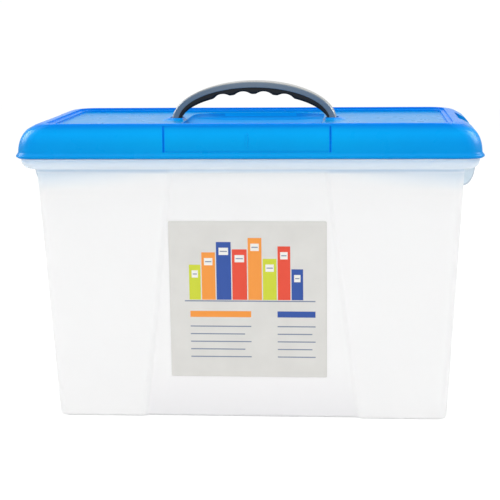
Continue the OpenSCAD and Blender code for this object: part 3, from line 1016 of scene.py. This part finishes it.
# a paler copy of the bow's grey for its outer face: a painted highlight
BOW_PAINTED_HIGHLIGHT = moulded("bow_painted_highlight", "828381", "8A8C89", 0.3, 1500.0, 0.1).done()
GRIP_BLACK = moulded("grip_black", "0D0F12", "14171A", 0.65, 1200.0, 0.35,
                     Specular_IOR_Level=0.25).done()
CLIP_GREY = moulded("clip_grey", "667884", "6E808C", 0.4, 1500.0, 0.15).done()
PAPER = label_material()


# ---- pieces ----

def place(piece, material, body, slot, *nodes):
    piece.data.materials.clear()
    piece.data.materials.append(material)
    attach(piece, body)
    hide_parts(*nodes)


def paint_outer_face_highlight(bow):
    """Gives the bow's outer face and its rounded edges a paler copy of the bow's grey, as a painted
    highlight.
    """
    least_outward = 0.55
    bow.data.materials.append(BOW_PAINTED_HIGHLIGHT)
    for face in bow.data.polygons:
        x, z = face.center.x / MM, face.center.z / MM - BOW_Z
        outward = Vector((x / BOW_A ** 2, 0, z / BOW_B ** 2)).normalized()
        if z > FOOT_Z - BOW_Z and face.normal.dot(outward) > least_outward:
            face.material_index = 1


place(build_tub(), FROSTED, "tub", "tub", "body")
place(build_lid(), BLUE, "lid", "lid", "lid")
bow = build_bow()
place(bow, BOW_GREY, "lid", "frame", "handle_frame")
# painted highlight on the bow's outer face and its rounded edges
paint_outer_face_highlight(bow)
place(build_grip(), GRIP_BLACK, "lid", "grip", "handle_grip")
place(build_clip("clip_left", True), CLIP_GREY, "left_clip", "clip", "left_clip")
place(build_clip("clip_right", False), CLIP_GREY, "right_clip", "clip", "right_clip")
place(build_label(), PAPER, "tub", "label", "label")


# ---- stage, light and camera, in metres ----

FLOOR_HALF = 4.0
FLOOR_Z = -0.0002
FLOOR_SHADE = 0.92
FLOOR_GLOW = 1.15
FLOOR_GLOW_SHARE = 0.75
WORLD_LIGHT = 0.68
WORLD_SHOWN = 1.02


def shown_ray(tree):
    """1 for camera, glossy and transmission rays, 0 for the rays that light diffuse surfaces."""
    path = tree.nodes.new("ShaderNodeLightPath")
    total = path.outputs["Is Camera Ray"]
    for name in ("Is Glossy Ray", "Is Transmission Ray"):
        either = tree.nodes.new("ShaderNodeMath")
        either.operation = "MAXIMUM"
        tree.links.new(total, either.inputs[0])
        tree.links.new(path.outputs[name], either.inputs[1])
        total = either.outputs[0]
    return total


def build_floor():
    """White floor that takes shadows and, where the camera sees it, glows a little."""
    mesh = bpy.data.meshes.new("floor")
    corners = [(sx * FLOOR_HALF, sy * FLOOR_HALF, FLOOR_Z)
               for sx, sy in ((-1, -1), (1, -1), (1, 1), (-1, 1))]
    mesh.from_pydata(corners, [], [(0, 1, 2, 3)])
    floor = bpy.data.objects.new("floor", mesh)
    bpy.context.scene.collection.objects.link(floor)
    material = bpy.data.materials.new("floor_white")
    material.use_nodes = True
    tree = material.node_tree
    tree.nodes.clear()
    diffuse = tree.nodes.new("ShaderNodeBsdfDiffuse")
    diffuse.inputs["Color"].default_value = (FLOOR_SHADE, FLOOR_SHADE, FLOOR_SHADE, 1)
    glow = tree.nodes.new("ShaderNodeEmission")
    glow.inputs["Strength"].default_value = FLOOR_GLOW
    mix = tree.nodes.new("ShaderNodeMixShader")
    share = tree.nodes.new("ShaderNodeMath")
    share.operation = "MULTIPLY"
    share.inputs[1].default_value = FLOOR_GLOW_SHARE
    output = tree.nodes.new("ShaderNodeOutputMaterial")
    tree.links.new(shown_ray(tree), share.inputs[0])
    tree.links.new(share.outputs[0], mix.inputs["Fac"])
    tree.links.new(diffuse.outputs[0], mix.inputs[1])
    tree.links.new(glow.outputs[0], mix.inputs[2])
    tree.links.new(mix.outputs[0], output.inputs["Surface"])
    mesh.materials.append(material)


def build_world():
    """White surroundings, brighter where they are seen than where they light the part."""
    world = bpy.data.worlds.new("studio")
    bpy.context.scene.world = world
    world.use_nodes = True
    tree = world.node_tree
    strength = tree.nodes.new("ShaderNodeMapRange")
    strength.inputs["To Min"].default_value = WORLD_LIGHT
    strength.inputs["To Max"].default_value = WORLD_SHOWN
    tree.links.new(shown_ray(tree), strength.inputs["Value"])
    background = tree.nodes["Background"]
    tree.links.new(strength.outputs["Result"], background.inputs["Strength"])
    background.inputs["Color"].default_value = (1, 1, 1, 1)


# name, place, aim, size, watts, and whether it shows in gloss only
LAMPS = (
    ("overhead", (0, -0.2, 1.5), (0, 0, 0.2), (1.6, 1.0), 9, False),
    ("strip_left", (-1.5, -0.1, 0.95), (-0.2, -0.1, 0.27), (1.2, 0.7), 75, True),
    ("strip_right", (1.5, -0.1, 0.95), (0.2, -0.1, 0.27), (1.2, 0.7), 75, True),
    ("back", (0, 1.3, 1.3), (0, 0, 0.15), (1.4, 0.8), 5, False),
    ("front_left", (-1.2, -1.4, 1.0), (0, 0, 0.15), (0.9, 0.9), 6, False),
    ("front_right", (1.3, -1.3, 0.9), (0, 0, 0.15), (0.9, 0.9), 5, False))


def softbox(name, at, aim, size, power, gloss_only):
    data = bpy.data.lights.new(name, "AREA")
    data.shape = "RECTANGLE"
    data.size, data.size_y = size
    data.energy = power
    lamp = bpy.data.objects.new(name, data)
    lamp.visible_diffuse = not gloss_only
    lamp.location = at
    lamp.rotation_euler = (Vector(aim) - Vector(at)).to_track_quat("-Z", "Y").to_euler()
    bpy.context.scene.collection.objects.link(lamp)


# the photo's camera, as fitted to it
CAMERA_AT = Vector((0.1060, -1.4397, 0.3979))
CAMERA_YAW = radians(4.428)
CAMERA_PITCH = radians(9.694)
CAMERA_ROLL = radians(-0.526)
FOCAL_PX = 1473.0
IMAGE_PX = 500
SENSOR_MM = 36


def build_camera():
    forward = Vector((-sin(CAMERA_YAW) * cos(CAMERA_PITCH), cos(CAMERA_YAW) * cos(CAMERA_PITCH),
                      -sin(CAMERA_PITCH)))
    level = Vector((cos(CAMERA_YAW), sin(CAMERA_YAW), 0))
    upright = level.cross(forward)
    right = level * cos(CAMERA_ROLL) + upright * sin(CAMERA_ROLL)
    up = upright * cos(CAMERA_ROLL) - level * sin(CAMERA_ROLL)
    data = bpy.data.cameras.new("camera")
    data.sensor_width = SENSOR_MM
    data.lens = FOCAL_PX * data.sensor_width / IMAGE_PX
    camera = bpy.data.objects.new("camera", data)
    turn = Matrix((right, up, -forward)).transposed().to_4x4()
    camera.matrix_world = Matrix.Translation(CAMERA_AT) @ turn
    bpy.context.scene.collection.objects.link(camera)
    bpy.context.scene.camera = camera


build_floor()
build_world()
for lamp in LAMPS:
    softbox(*lamp)
build_camera()
bpy.context.scene.view_settings.view_transform = "Standard"
